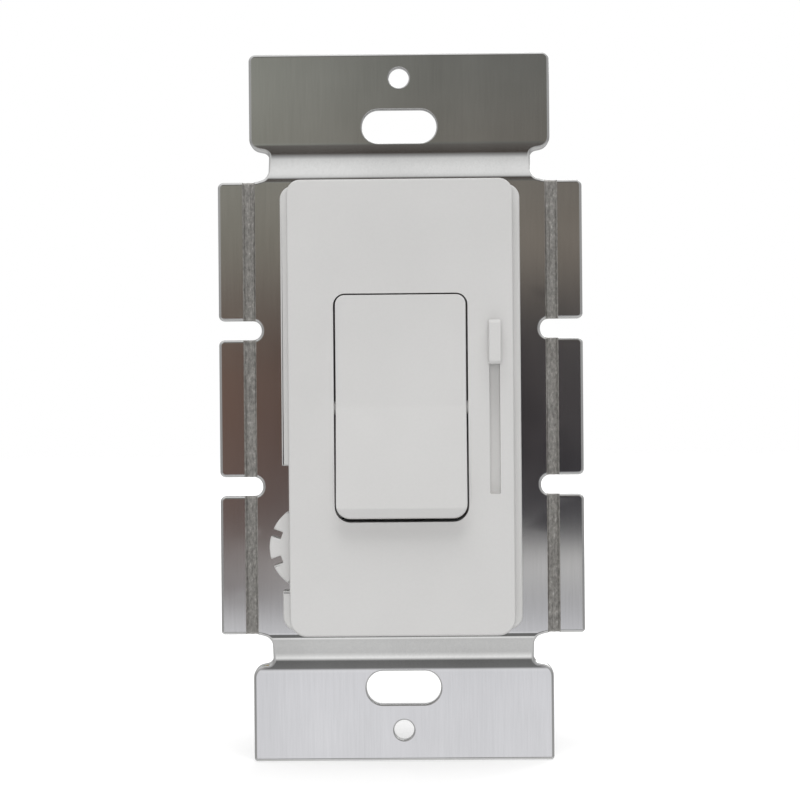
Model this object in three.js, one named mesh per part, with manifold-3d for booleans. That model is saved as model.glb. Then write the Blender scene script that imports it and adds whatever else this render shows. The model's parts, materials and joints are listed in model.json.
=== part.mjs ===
// Slide dimmer with a rocker switch, on a wide break-off heat-sink strap.
// Millimetres. X is right, Y goes into the wall, Z is up.
// The wall surface is y = 0, so the ears' back faces lie on it and the controls face -Y.
// The middle of the strap, between the two mounting slots, is x = z = 0.

import * as THREE from 'three';
import Module from 'manifold-3d';
import { mergeVertices } from 'three/addons/utils/BufferGeometryUtils.js';

const wasm = await Module();
wasm.setup();

// ---------------------------------------------------------------- driving dimensions

const GAP = 0.3; // clearance kept between neighbouring pieces
const ARC_STEPS = 4; // segments on a rounded corner
const ROUND = 24; // sides of a visible cylinder
const SMALL_ROUND = 16; // sides of a small or hidden cylinder
const QUADRANTS = [[1, 1], [1, -1], [-1, 1], [-1, -1]]; // right or left, then upper or lower

// strap
const SHEET = 1.5;
const RISE = 2.4; // the middle plate stands this far in front of the ears
const STRAP_HALF_HEIGHT = 52.5;
const EAR_HALF_WIDTH = 22.3;
const EAR_INNER_END = 38.5;
const WEB_HALF_WIDTH = 19.35;
const PLATE_HALF_WIDTH = 26.8;
const PLATE_HALF_HEIGHT = 33.3;
const BEND_START = 33.2;
const BEND_RADIUS = 3.8;
const BEND_ANGLE = THREE.MathUtils.degToRad(40);
const MOUNT_SLOT_SPACING = 83.34;
const MOUNT_SLOT_LENGTH = 11.1;
const MOUNT_SLOT_HEIGHT = 5.0;
const COVER_HOLE_SPACING = 96.84;
const COVER_HOLE_SHIFT = 0.45;
const COVER_HOLE_RADIUS = 1.5;
const COVER_HOLE_RIM = 1.9;
const SCORE_X = 22.25;
const SCORE_WIDTH = 1.4;
const SCORE_DEPTH = 0.5;
const NOTCH_Z = 11.5;
const NOTCH_HEIGHT = 2.8;
const NOTCH_INNER_X = 20.5;

// depth planes that the pieces share
const EAR_FRONT = -SHEET;
const PLATE_BACK = -RISE;
const PLATE_FRONT = PLATE_BACK - SHEET;
const FACE_FRONT = -8.5;

// face bezel
const FACE = { halfWidth: 16.4, halfHeight: 33.2, topRadius: 2.0, bottomRadius: 3.0, wall: 1.8 };
const FLANGE = { halfWidth: 17.8, halfHeight: 32.6, radius: 1.4, depth: 1.6 };
const FACE_BACK = PLATE_FRONT - 0.2;
const CAVITY = { halfWidth: 15.4, halfHeight: 31.9 };
const OPENING = { width: 19.5, height: 33.2, radius: 1.9 };
const COLLAR = { halfWidth: 11.0, halfHeight: 17.9, back: -5.7 };

// rocker paddle
const ROCK = THREE.MathUtils.degToRad(9.4); // whole swing, top pressed to bottom pressed
const PIVOT_Y = -6.6;
const PADDLE = { width: 18.8, halfHeight: 16.1, crease: 2.0, depth: 2.9, wall: 1.5, bevel: 1.5 };
const TRUNNION = { radius: 1.0, end: 10.8 };
const STEM = { radius: 2.4, bore: 1.45, end: 7.8 };

// slider
const SLIDER_X = 13.6;
const SLIDER_TRAVEL = 18.8;
const SLIDER_REST_Z = SLIDER_TRAVEL / 2;
const SLIDER_SLOT = { width: 1.3, height: 25.2 };
const KNOB = { width: 2.1, height: 6.4, depth: 2.4 };
const CARRIER = { width: 3.0, halfLength: 22.1, front: -6.3, back: -5.5 };
const LEVER = { width: 1.8, height: 3.6 };

// low-end trim
const TRIM = { x: -13.0, z: -20.4, radius: 6.5, slots: 9, slotWidth: 1.1, slotDepth: 1.5 };
const TRIM_FRONT = -5.3;
const TRIM_CUTAWAY = { bottom: -26.8, top: -8.4 };

// back housing
const HOUSING = { halfWidth: 20.2, halfHeight: 32.2, back: 28.0, wall: 1.6 };
const HOUSING_FRONT = PLATE_BACK + GAP;
const CASE_SCREW = { x: 9.0, z: 29.0, shank: 1.25, head: 2.3 };
const TERMINAL_Y = 16.0;
const TERMINAL = { pocket: 5.0, head: 3.6, shank: 1.8 };
const TERMINALS = {
  common: { side: 1, z: 12.0, screw: 0x24221f },
  traveler_a: { side: -1, z: 12.0, screw: 0xc49a45 },
  traveler_b: { side: -1, z: -6.0, screw: 0xc49a45 },
};

// circuit board and switch mechanism
const BOARD = { front: 5.0, back: 6.6, halfWidth: 17.9, halfHeight: 26.2 };
const SWITCH = { halfWidth: 7.5, halfHeight: 12.0, front: 1.4, back: 13.6, wall: 1.5 };
const CONTACT_PIVOT_Y = 4.6;
const CONTACT_SWING = THREE.MathUtils.degToRad(16);
const CONTACT_Z = 6.8;
const PLUNGER = { radius: 1.15, tipRadius: 0.9, noseRadius: 0.3, start: 5.2, tip: 8.4, nose: 9.0, end: 9.4 };
const SPRING = { wire: 0.18, radius: 0.85, turns: 5, start: 0.9, end: 4.7 };

// power parts
const TRIAC = { screwZ: 26.5, halfWidth: 5.0, bottom: 14.6, top: 29.6, hole: 1.8, pitch: 2.54 };
const CHOKE = { y: 14.4, z: -19.7, core: 2.8, tube: 3.7, winding: 6.0, flange: 6.4 };

// screws: [head radius, head height, shank radius, shank length]
const TRIAC_SCREW = [2.6, 1.6, 1.45, 3.6];
const CASE_SCREW_SIZE = [CASE_SCREW.head, 1.6, CASE_SCREW.shank, HOUSING.back + 4.1];
const TERMINAL_SCREW = [TERMINAL.head, 2.4, TERMINAL.shank, 3.6];
const GROUND_SCREW_SIZE = [3.4, 2.4, TERMINAL.shank, 2.6];
const GROUND_SCREW = { y: 4.5, z: -28.2 };
const GROUND_UPRIGHT_X = -23.0;

// ---------------------------------------------------------------- solids and joins

function solid(geometry) {
  geometry.deleteAttribute('normal');
  geometry.deleteAttribute('uv');
  const merged = mergeVertices(geometry);
  const vertProperties = new Float32Array(merged.attributes.position.array);
  const triVerts = new Uint32Array(merged.index.array);
  return new wasm.Manifold(new wasm.Mesh({ numProp: 3, vertProperties, triVerts }));
}

const join = (first, ...others) => others.reduce((sum, other) => sum.add(other), first);
const cut = (first, ...others) => others.reduce((rest, other) => rest.subtract(other), first);

function box(x0, x1, y0, y1, z0, z1) {
  const geometry = new THREE.BoxGeometry(x1 - x0, y1 - y0, z1 - z0);
  geometry.translate((x0 + x1) / 2, (y0 + y1) / 2, (z0 + z1) / 2);
  return solid(geometry);
}

// Rods along X take (y, z), along Y take (x, z) and along Z take (x, y) as their centre.
function rodX(radius, x0, x1, y, z, sides = SMALL_ROUND) {
  const geometry = new THREE.CylinderGeometry(radius, radius, x1 - x0, sides);
  geometry.rotateZ(Math.PI / 2);
  geometry.translate((x0 + x1) / 2, y, z);
  return solid(geometry);
}

function rodY(radius, y0, y1, x, z, sides = SMALL_ROUND, backRadius = radius) {
  const geometry = new THREE.CylinderGeometry(backRadius, radius, y1 - y0, sides);
  geometry.translate(x, (y0 + y1) / 2, z);
  return solid(geometry);
}

function rodZ(radius, z0, z1, x, y, sides = SMALL_ROUND) {
  const geometry = new THREE.CylinderGeometry(radius, radius, z1 - z0, sides);
  geometry.rotateX(Math.PI / 2);
  geometry.translate(x, y, (z0 + z1) / 2);
  return solid(geometry);
}

// A front-view outline, drawn in (x, z), made into a slab between two depths.
function slab(shape, yFront, yBack) {
  const depth = yBack - yFront;
  const options = { depth, bevelEnabled: false, curveSegments: ARC_STEPS };
  const geometry = new THREE.ExtrudeGeometry(shape, options);
  geometry.rotateX(Math.PI / 2);
  geometry.translate(0, yBack, 0);
  return solid(geometry);
}

// A side-view outline, drawn in (y, z), made into a bar between two values of x.
function bar(shape, x0, x1) {
  const geometry = new THREE.ExtrudeGeometry(shape, { depth: x1 - x0, bevelEnabled: false });
  geometry.applyMatrix4(new THREE.Matrix4().set(0, 0, 1, x0, 1, 0, 0, 0, 0, 1, 0, 0, 0, 0, 0, 1));
  return solid(geometry);
}

// A closed outline through [x, z, cornerRadius] points.
function roundedOutline(corners) {
  const shape = new THREE.Shape();
  const count = corners.length;
  corners.forEach(([x, z, radius], index) => {
    const corner = new THREE.Vector2(x, z);
    const [beforeX, beforeZ] = corners[(index + count - 1) % count];
    const [afterX, afterZ] = corners[(index + 1) % count];
    const before = new THREE.Vector2(beforeX, beforeZ).sub(corner).setLength(radius);
    const after = new THREE.Vector2(afterX, afterZ).sub(corner).setLength(radius);
    const start = corner.clone().add(before);
    const end = corner.clone().add(after);
    if (index === 0) shape.moveTo(start.x, start.y);
    else shape.lineTo(start.x, start.y);
    shape.quadraticCurveTo(x, z, end.x, end.y);
  });
  shape.closePath();
  return shape;
}

function roundedRectangle(x, z, width, height, topRadius, bottomRadius = topRadius) {
  const right = x + width / 2;
  const left = x - width / 2;
  const top = z + height / 2;
  const bottom = z - height / 2;
  return roundedOutline([
    [left, top, topRadius], [left, bottom, bottomRadius],
    [right, bottom, bottomRadius], [right, top, topRadius],
  ]);
}

function polygon(points) {
  return new THREE.Shape(points.map(([a, b]) => new THREE.Vector2(a, b)));
}

const assembly = new THREE.Group();

function addNode(name, body, color, roughness, metalness, parent = assembly) {
  const { vertProperties, triVerts } = body.getMesh();
  const geometry = new THREE.BufferGeometry();
  geometry.setAttribute('position', new THREE.BufferAttribute(new Float32Array(vertProperties), 3));
  geometry.setIndex(new THREE.BufferAttribute(new Uint32Array(triVerts), 1));
  geometry.computeVertexNormals();
  const mesh = new THREE.Mesh(geometry, new THREE.MeshStandardMaterial({ color, roughness, metalness }));
  mesh.name = name;
  parent.add(mesh);
  return mesh;
}

const ALUMINIUM = [0xb4b4b6, 0.42, 0.9];
const WHITE_PLASTIC = [0xe6e6e6, 0.45, 0];
const BLACK_PLASTIC = [0x26282a, 0.6, 0];
const STEEL = [0x9a9a9c, 0.35, 0.9];
const BRASS = [0xc49a45, 0.35, 0.9];

// ---------------------------------------------------------------- mounting strap

// Upper half of the strap's side view at a distance in front of the sheet's middle,
// as [y, z] points from the middle plate, through the two bends, to the end of the ear.
function strapFace(inFront) {
  const straight = (RISE - 2 * BEND_RADIUS * (1 - Math.cos(BEND_ANGLE))) / Math.sin(BEND_ANGLE);
  const lastTilt = 2 * ARC_STEPS;
  const points = [];
  let y = PLATE_FRONT + SHEET / 2;
  let z = BEND_START;
  for (let step = 0; step <= lastTilt; step++) {
    const tilt = BEND_ANGLE * (1 - Math.abs(step - ARC_STEPS) / ARC_STEPS);
    points.push([y - inFront * Math.cos(tilt), z + inFront * Math.sin(tilt)]);
    if (step === lastTilt) break;
    const nextTilt = BEND_ANGLE * (1 - Math.abs(step + 1 - ARC_STEPS) / ARC_STEPS);
    y += BEND_RADIUS * Math.abs(Math.cos(tilt) - Math.cos(nextTilt));
    z += BEND_RADIUS * Math.abs(Math.sin(tilt) - Math.sin(nextTilt));
    if (step + 1 === ARC_STEPS) {
      points.push([y - inFront * Math.cos(nextTilt), z + inFront * Math.sin(nextTilt)]);
      y += straight * Math.sin(nextTilt);
      z += straight * Math.cos(nextTilt);
    }
  }
  points.push([points.at(-1)[0], STRAP_HALF_HEIGHT]);
  return points;
}

function strapSheet() {
  const front = strapFace(SHEET / 2);
  const back = strapFace(-SHEET / 2);
  const mirrored = (points) => points.map(([y, z]) => [y, -z]);
  const outline = [
    ...front, ...back.toReversed(),
    ...mirrored(back), ...mirrored(front).toReversed(),
  ];
  return bar(polygon(outline), -PLATE_HALF_WIDTH, PLATE_HALF_WIDTH);
}

function strapOutline() {
  const notchTop = NOTCH_Z + NOTCH_HEIGHT / 2;
  const notchBottom = NOTCH_Z - NOTCH_HEIGHT / 2;
  const notchRound = NOTCH_HEIGHT / 2 - 0.05;
  const upperRight = [
    [EAR_HALF_WIDTH, STRAP_HALF_HEIGHT, 1.2],
    [EAR_HALF_WIDTH, EAR_INNER_END, 1.5],
    [WEB_HALF_WIDTH, EAR_INNER_END - 0.6, 0.8],
    [WEB_HALF_WIDTH, PLATE_HALF_HEIGHT + 0.5, 0.9],
    [WEB_HALF_WIDTH + 2.0, PLATE_HALF_HEIGHT, 0.9],
    [PLATE_HALF_WIDTH, PLATE_HALF_HEIGHT, 1.6],
    [PLATE_HALF_WIDTH, notchTop, 1.3],
    [NOTCH_INNER_X, notchTop, notchRound],
    [NOTCH_INNER_X, notchBottom, notchRound],
    [PLATE_HALF_WIDTH, notchBottom, 1.3],
  ];
  const flipZ = ([x, z, radius]) => [x, -z, radius];
  const flipX = ([x, z, radius]) => [-x, z, radius];
  const right = [...upperRight, ...upperRight.map(flipZ).toReversed()];
  return roundedOutline([...right, ...right.map(flipX).toReversed()]);
}

function mountingStrap() {
  const through = [-6, 1];
  const everyDepth = (radius, x, z) => rodY(radius, ...through, x, z);
  const cuts = [];
  for (const side of [1, -1]) {
    const slotZ = side * MOUNT_SLOT_SPACING / 2;
    const slotRound = MOUNT_SLOT_HEIGHT / 2 - 0.05;
    cuts.push(slab(roundedRectangle(0, slotZ, MOUNT_SLOT_LENGTH, MOUNT_SLOT_HEIGHT, slotRound), ...through));
    const holeZ = side * COVER_HOLE_SPACING / 2 + COVER_HOLE_SHIFT;
    cuts.push(everyDepth(COVER_HOLE_RADIUS, 0, holeZ));
    cuts.push(rodY(COVER_HOLE_RIM, EAR_FRONT - 0.2, EAR_FRONT + 0.4, 0, holeZ,
      SMALL_ROUND, COVER_HOLE_RADIUS));
    const scoreX = side * SCORE_X;
    cuts.push(box(scoreX - SCORE_WIDTH / 2, scoreX + SCORE_WIDTH / 2,
      PLATE_FRONT - 1, PLATE_FRONT + SCORE_DEPTH, -PLATE_HALF_HEIGHT - 1, PLATE_HALF_HEIGHT + 1));
    for (const end of [1, -1]) {
      cuts.push(everyDepth(CASE_SCREW.shank + 0.35, side * CASE_SCREW.x, end * CASE_SCREW.z));
    }
  }
  cuts.push(slab(roundedRectangle(0, 0, 14.4, 20.4, 1), ...through));
  cuts.push(slab(roundedRectangle(SLIDER_X, 0, 2.6, SLIDER_TRAVEL + 6, 1), ...through));
  cuts.push(everyDepth(2.3, TRIM.x, TRIM.z));
  cuts.push(everyDepth(1.9, 0, TRIAC.screwZ));
  return cut(strapSheet().intersect(slab(strapOutline(), ...through)), ...cuts);
}

// ---------------------------------------------------------------- face bezel

function faceBezel() {
  const { halfWidth, halfHeight, topRadius, bottomRadius } = FACE;
  const raised = roundedRectangle(0, 0, 2 * halfWidth, 2 * halfHeight, topRadius, bottomRadius);
  const flange = roundedRectangle(0, 0, 2 * FLANGE.halfWidth, 2 * FLANGE.halfHeight, FLANGE.radius);
  const shell = join(slab(raised, FACE_FRONT, FACE_BACK),
    slab(flange, FACE_BACK - FLANGE.depth, FACE_BACK));
  const cavity = box(-CAVITY.halfWidth, CAVITY.halfWidth, FACE_FRONT + FACE.wall, FACE_BACK + 1,
    -CAVITY.halfHeight, CAVITY.halfHeight);
  const collar = box(-COLLAR.halfWidth, COLLAR.halfWidth, FACE_FRONT + 0.5, COLLAR.back,
    -COLLAR.halfHeight, COLLAR.halfHeight);
  const bosses = [];
  const screwHoles = [];
  for (const [side, end] of QUADRANTS) {
    bosses.push(rodY(2.3, FACE_FRONT + 1, FACE_BACK, side * CASE_SCREW.x, end * CASE_SCREW.z));
    screwHoles.push(rodY(CASE_SCREW.shank + GAP, FACE_FRONT + 2.2, FACE_BACK + 1,
      side * CASE_SCREW.x, end * CASE_SCREW.z));
  }
  const body = join(cut(shell, cavity), collar, ...bosses);
  const opening = roundedRectangle(0, 0, OPENING.width, OPENING.height, OPENING.radius);
  const sliderSlot = roundedRectangle(SLIDER_X, 0, SLIDER_SLOT.width, SLIDER_SLOT.height, 0.2);
  const trimWindow = box(-FLANGE.halfWidth - 1, -CAVITY.halfWidth + 1, TRIM_FRONT - 0.6, FACE_BACK + 1,
    TRIM_CUTAWAY.bottom, TRIM_CUTAWAY.top);
  const trunnionHole = rodX(TRUNNION.radius + GAP, -COLLAR.halfWidth - 1, COLLAR.halfWidth + 1, PIVOT_Y, 0);
  return cut(body, slab(opening, FACE_FRONT - 1, COLLAR.back + 1), slab(sliderSlot, FACE_FRONT - 1, -6),
    trimWindow, trunnionHole, ...screwHoles);
}

// ---------------------------------------------------------------- rocker paddle and its plunger

// The paddle, plunger and spring are drawn about the pivot in the middle of the swing,
// and their group leans them to the position with the top pressed in.
function rockerPaddle() {
  const { width, halfHeight, crease, depth, wall, bevel } = PADDLE;
  const lean = halfHeight * Math.tan(ROCK / 2);
  const frontV = (y) => [[y - lean, halfHeight], [y, 0], [y - lean, -halfHeight]];
  const outer = polygon([...frontV(-crease), ...frontV(-crease + depth).toReversed()]);
  const innerHalf = halfHeight - wall;
  const innerLean = innerHalf * Math.tan(ROCK / 2);
  const inner = polygon([
    [-crease + wall - innerLean, innerHalf], [-crease + wall, 0], [-crease + wall - innerLean, -innerHalf],
    [depth, -innerHalf], [depth, innerHalf],
  ]);
  const frontOutline = slab(roundedRectangle(0, 0, width, 2 * halfHeight, 1.6), -10, STEM.end);
  const chamfer = polygon([
    [-crease - lean - 1, -halfHeight + bevel + 0.4], [-crease - lean + 2.6, -halfHeight - 0.1],
    [-crease - lean - 1, -halfHeight - 1],
  ]);
  const shell = cut(bar(outer, -width / 2, width / 2).intersect(frontOutline),
    bar(inner, -width / 2 + wall, width / 2 - wall), bar(chamfer, -width, width));
  const trunnions = [1, -1].map((side) => {
    const from = side > 0 ? width / 2 - wall : -TRUNNION.end;
    const to = side > 0 ? TRUNNION.end : -width / 2 + wall;
    return rodX(TRUNNION.radius, from, to, 0, 0);
  });
  const stem = rodY(STEM.radius, -crease + 1, STEM.end, 0, 0, ROUND);
  const bore = rodY(STEM.bore, 0.4, STEM.end + 1, 0, 0);
  return cut(join(shell, ...trunnions, stem), bore);
}

function plungerPin() {
  const { radius, tipRadius, noseRadius, start, tip, nose, end } = PLUNGER;
  const shaft = rodY(radius, start, tip, 0, 0);
  const taper = rodY(radius, tip, nose, 0, 0, SMALL_ROUND, tipRadius);
  const point = rodY(tipRadius, nose, end, 0, 0, SMALL_ROUND, noseRadius);
  return join(shaft, taper, point);
}

class Coil extends THREE.Curve {
  constructor(radius, turns, start, end) {
    super();
    Object.assign(this, { radius, turns, start, end });
  }

  getPoint(t, target = new THREE.Vector3()) {
    const angle = 2 * Math.PI * this.turns * t;
    const along = THREE.MathUtils.lerp(this.start, this.end, t);
    return target.set(this.radius * Math.cos(angle), along, this.radius * Math.sin(angle));
  }
}

function plungerSpring() {
  const wire = new THREE.Shape().absarc(0, 0, SPRING.wire, 0, 2 * Math.PI);
  const extrudePath = new Coil(SPRING.radius, SPRING.turns, SPRING.start, SPRING.end);
  return solid(new THREE.ExtrudeGeometry(wire, { steps: 60, curveSegments: 6, extrudePath }));
}

// ---------------------------------------------------------------- slider

// Knob, carrier and lever are drawn about the slider's own middle, at z = 0.
function sliderKnob() {
  const front = FACE_FRONT - GAP - KNOB.depth;
  const halfWidth = KNOB.width / 2;
  const halfHeight = KNOB.height / 2;
  const base = front + KNOB.depth;
  const sides = polygon([[base, -halfHeight], [front + 0.8, -halfHeight], [front, -halfHeight + 0.7],
    [front, halfHeight - 0.7], [front + 0.8, halfHeight], [base, halfHeight]]);
  const button = bar(sides, SLIDER_X - halfWidth, SLIDER_X + halfWidth);
  const neck = box(SLIDER_X - 0.4, SLIDER_X + 0.4, base - 0.5, -5.2, -2.1, 2.1);
  return join(button, neck);
}

function sliderCarrier() {
  const { width, halfLength, front, back } = CARRIER;
  const across = (half) => [SLIDER_X - half, SLIDER_X + half];
  const strip = box(...across(width / 2), front, back, -halfLength, halfLength);
  const ribs = [1, -1].map((side) => box(...across(1.3), back - 0.2, PLATE_FRONT - 0.5,
    ...[side * 2.2, side * 3.2].toSorted((a, b) => a - b)));
  return cut(join(strip, ...ribs), box(...across(0.7), front - 1, back + 0.1, -2.4, 2.4));
}

function wiperLever() {
  const lever = box(SLIDER_X - LEVER.width / 2, SLIDER_X + LEVER.width / 2, -4.9, 1.5,
    -LEVER.height / 2, LEVER.height / 2);
  const shoe = box(SLIDER_X - 2.4, SLIDER_X + 2.4, 1.0, 1.8, -2.4, 2.4);
  return join(lever, shoe);
}

function slidePotBody() {
  const halfLength = SLIDER_TRAVEL / 2 + 9.6;
  const reach = SLIDER_TRAVEL / 2 + 3;
  const shell = box(SLIDER_X - 3.2, SLIDER_X + 3.2, PLATE_BACK + 0.5, BOARD.front - GAP,
    -halfLength, halfLength);
  const groove = box(SLIDER_X - 1.3, SLIDER_X + 1.3, PLATE_BACK, 1, -reach, reach);
  const track = box(SLIDER_X - 2.7, SLIDER_X + 2.7, 0.6, 2.2, -reach, reach);
  return cut(shell, groove, track);
}

// ---------------------------------------------------------------- low-end trim

function trimWheel() {
  const disc = rodY(TRIM.radius, TRIM_FRONT, PLATE_FRONT - GAP, 0, 0, 4 * TRIM.slots);
  const shaft = rodY(1.35, PLATE_FRONT - 1, 0.3, 0, 0);
  const slots = [];
  for (let index = 0; index < TRIM.slots; index++) {
    const geometry = new THREE.BoxGeometry(2 * TRIM.slotDepth, 4, TRIM.slotWidth);
    geometry.translate(TRIM.radius, TRIM_FRONT, 0);
    geometry.rotateY(2 * Math.PI * index / TRIM.slots);
    slots.push(solid(geometry));
  }
  return cut(join(disc, shaft), ...slots);
}

function trimPotBody() {
  const half = 4.8;
  const shell = box(-half, half, PLATE_BACK + 0.5, BOARD.front - GAP, -half, half);
  return cut(shell, rodY(3.0, PLATE_BACK, 1.2, 0, 0, ROUND));
}

function trimPotRotor() {
  return cut(rodY(2.7, PLATE_BACK + 0.6, 0.9, 0, 0, ROUND), rodY(1.65, PLATE_BACK, 0.6, 0, 0));
}

// ---------------------------------------------------------------- switch mechanism

function switchBase() {
  const { halfWidth, halfHeight, front, back, wall } = SWITCH;
  const shell = box(-halfWidth, halfWidth, front, back, -halfHeight, halfHeight);
  const well = box(-halfWidth + wall, halfWidth - wall, front - 1, back - wall,
    -halfHeight + wall, halfHeight - wall);
  const pinHole = rodX(1.0, -halfWidth - 1, halfWidth + 1, CONTACT_PIVOT_Y, 0);
  const legSlots = [1, -1].map((side) => box(-2.5, 2.5, back - wall - 1, back + 1,
    side * 9.1 - 0.7, side * 9.1 + 0.7));
  return cut(shell, well, pinHole, ...legSlots);
}

// Drawn about its own pivot; its mesh leans it to the side that the plunger holds down.
function contactSeesaw() {
  const strip = box(-2.4, 2.4, -1.4, -0.7, -7.6, 7.6);
  const barrel = rodX(1.4, -2.2, 2.2, 0, 0);
  const buttons = [1, -1].map((side) => rodY(1.1, -0.8, 0.1, 0, side * CONTACT_Z));
  return cut(join(strip, barrel, ...buttons), rodX(1.0, -3, 3, 0, 0));
}

function fixedContact() {
  const button = rodY(1.3, 5.95, 6.9, 0, CONTACT_Z);
  const foot = box(-2.2, 2.2, 6.8, 7.6, 5.4, 9.5);
  const leg = box(-2.2, 2.2, 6.8, 14.8, 8.7, 9.5);
  return join(button, foot, leg);
}

// ---------------------------------------------------------------- power parts and board

function triac() {
  const tab = box(-TRIAC.halfWidth, TRIAC.halfWidth, -1.5, -0.2, TRIAC.bottom, TRIAC.top);
  const moulding = box(-TRIAC.halfWidth, TRIAC.halfWidth, -1.2, 2.8, TRIAC.bottom, TRIAC.top - 6.4);
  const legs = [-TRIAC.pitch, 0, TRIAC.pitch].flatMap((x) => [
    box(x - 0.4, x + 0.4, 0.6, 1.3, 12.7, TRIAC.bottom + 0.5),
    box(x - 0.4, x + 0.4, 0.6, BOARD.front - GAP, 12.7, 13.5),
  ]);
  return cut(join(tab, moulding, ...legs), rodY(TRIAC.hole, -2, 2, 0, TRIAC.screwZ));
}

function triacPad() {
  const pad = box(-TRIAC.halfWidth - 0.8, TRIAC.halfWidth + 0.8, PLATE_BACK + 0.2, -1.8,
    TRIAC.bottom - 0.4, TRIAC.top + 0.6);
  return cut(pad, rodY(TRIAC.hole, -4, 0, 0, TRIAC.screwZ));
}

function panScrew(headRadius, headHeight, shankRadius, shankLength) {
  const head = rodY(headRadius, 0, headHeight, 0, 0, ROUND, headRadius * 0.86);
  const shank = rodY(shankRadius, -shankLength, 0.2, 0, 0);
  const recess = [
    box(-headRadius * 0.62, headRadius * 0.62, headHeight * 0.45, headHeight + 1, -0.3, 0.3),
    box(-0.3, 0.3, headHeight * 0.45, headHeight + 1, -headRadius * 0.62, headRadius * 0.62),
  ];
  return cut(join(head, shank), ...recess);
}

function circuitBoard() {
  const { front, back, halfWidth, halfHeight } = BOARD;
  const sheet = box(-halfWidth, halfWidth, front, back, -halfHeight, halfHeight);
  return cut(sheet, box(-7.8, 7.8, front - 1, back + 1, -12.3, 12.3));
}

function chokeCore() {
  return rodX(CHOKE.core, -10, 10, CHOKE.y, CHOKE.z, ROUND);
}

function chokeBobbin() {
  const { y, z, core, tube, flange } = CHOKE;
  const flanges = [1, -1].map((side) => box(...[side * 7.5, side * 8.5].toSorted((a, b) => a - b),
    BOARD.back + GAP, y + flange, z - flange, z + flange));
  return cut(join(rodX(tube, -8, 8, y, z), ...flanges), rodX(core + GAP, -12, 12, y, z));
}

function chokeWinding() {
  const { y, z, tube, winding } = CHOKE;
  return cut(rodX(winding, -7.2, 7.2, y, z, ROUND), rodX(tube + GAP, -8, 8, y, z));
}

function boardPart(x, z, width, height, length) {
  const foot = BOARD.back + GAP;
  return box(x - width / 2, x + width / 2, foot, foot + length, z - height / 2, z + height / 2);
}

function axialPart(radius, x, z, length) {
  return rodZ(radius, z - length / 2, z + length / 2, x, BOARD.back + GAP + radius);
}

// ---------------------------------------------------------------- back housing and terminals

function terminalPocket({ side, z }) {
  const across = (near, far) => [side * near, side * far].toSorted((a, b) => a - b);
  const half = TERMINAL.pocket;
  return {
    block: box(...across(14.2, HOUSING.halfWidth - 0.5), 8.5, 23.5, z - half - 1.5, z + half + 1.5),
    pocket: box(...across(15.7, HOUSING.halfWidth + 1), 10, 22, z - half, z + half),
    shankHole: rodX(TERMINAL.shank + GAP, ...across(13, 17), TERMINAL_Y, z),
    tailSlot: box(...across(13, 17), 10.4, 12.1, z - 1.8, z + 1.8),
  };
}

function backHousing() {
  const { halfWidth, halfHeight, back, wall } = HOUSING;
  const outline = roundedRectangle(0, 0, 2 * halfWidth, 2 * halfHeight, 2);
  const well = box(-halfWidth + wall, halfWidth - wall, HOUSING_FRONT - 1, back - wall,
    -halfHeight + wall, halfHeight - wall);
  const pockets = Object.values(TERMINALS).map(terminalPocket);
  const columns = [];
  const bores = [];
  for (const [side, end] of QUADRANTS) {
    const x = side * CASE_SCREW.x;
    const z = end * CASE_SCREW.z;
    const outer = end * (halfHeight - 0.5);
    const inner = end * (CASE_SCREW.z - 2.5);
    columns.push(box(x - 2.8, x + 2.8, HOUSING_FRONT, back - 0.5,
      Math.min(inner, outer), Math.max(inner, outer)));
    bores.push(rodY(CASE_SCREW.shank + GAP, HOUSING_FRONT - 1, back + 1, x, z));
    bores.push(rodY(CASE_SCREW.head + GAP, back - 2.0, back + 1, x, z));
  }
  const shell = cut(slab(outline, HOUSING_FRONT, back), well);
  const body = join(shell, ...columns, ...pockets.map((p) => p.block));
  const groundRecess = box(-halfWidth - 1, -5.9, HOUSING_FRONT - 1, -1.0, -halfHeight - 1, -25.7);
  const terminalCuts = pockets.flatMap((p) => [p.pocket, p.shankHole, p.tailSlot]);
  return cut(body, ...bores, groundRecess, ...terminalCuts);
}

// Terminal pieces are drawn for the right-hand side; the left-hand ones are turned half a turn about Y.
function terminalPlate() {
  const plate = box(16.0, 17.0, TERMINAL_Y - 5.2, TERMINAL_Y + 5.2, -4.2, 4.2);
  const tail = box(12.6, 16.5, 11.0, 11.8, -1.5, 1.5);
  const leg = box(12.6, 13.4, BOARD.back + GAP, 11.8, -1.5, 1.5);
  return cut(join(plate, tail, leg), rodX(TERMINAL.shank + GAP, 15, 18, TERMINAL_Y, 0));
}

function groundBracket() {
  const outside = GROUND_UPRIGHT_X;
  const foot = box(outside, -6.2, HOUSING_FRONT, -1.3, -32.0, -26.0);
  const upright = box(outside, outside + 0.8, HOUSING_FRONT, 9.5, -32.0, -24.4);
  return cut(join(foot, upright),
    rodY(CASE_SCREW.shank + GAP, -4, 0, -CASE_SCREW.x, -CASE_SCREW.z),
    rodX(TERMINAL.shank + GAP, outside - 1, outside + 2, GROUND_SCREW.y, GROUND_SCREW.z));
}

// ---------------------------------------------------------------- assembly

addNode('mounting_strap', mountingStrap(), ...ALUMINIUM);
addNode('face_bezel', faceBezel(), ...WHITE_PLASTIC);

const rocker = new THREE.Group();
rocker.position.set(0, PIVOT_Y, 0);
rocker.rotation.x = -ROCK / 2;
assembly.add(rocker);
addNode('rocker_paddle', rockerPaddle(), ...WHITE_PLASTIC, rocker);
addNode('plunger_pin', plungerPin(), 0xe8e4d8, 0.5, 0, rocker);
addNode('plunger_spring', plungerSpring(), ...STEEL, rocker);

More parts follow.
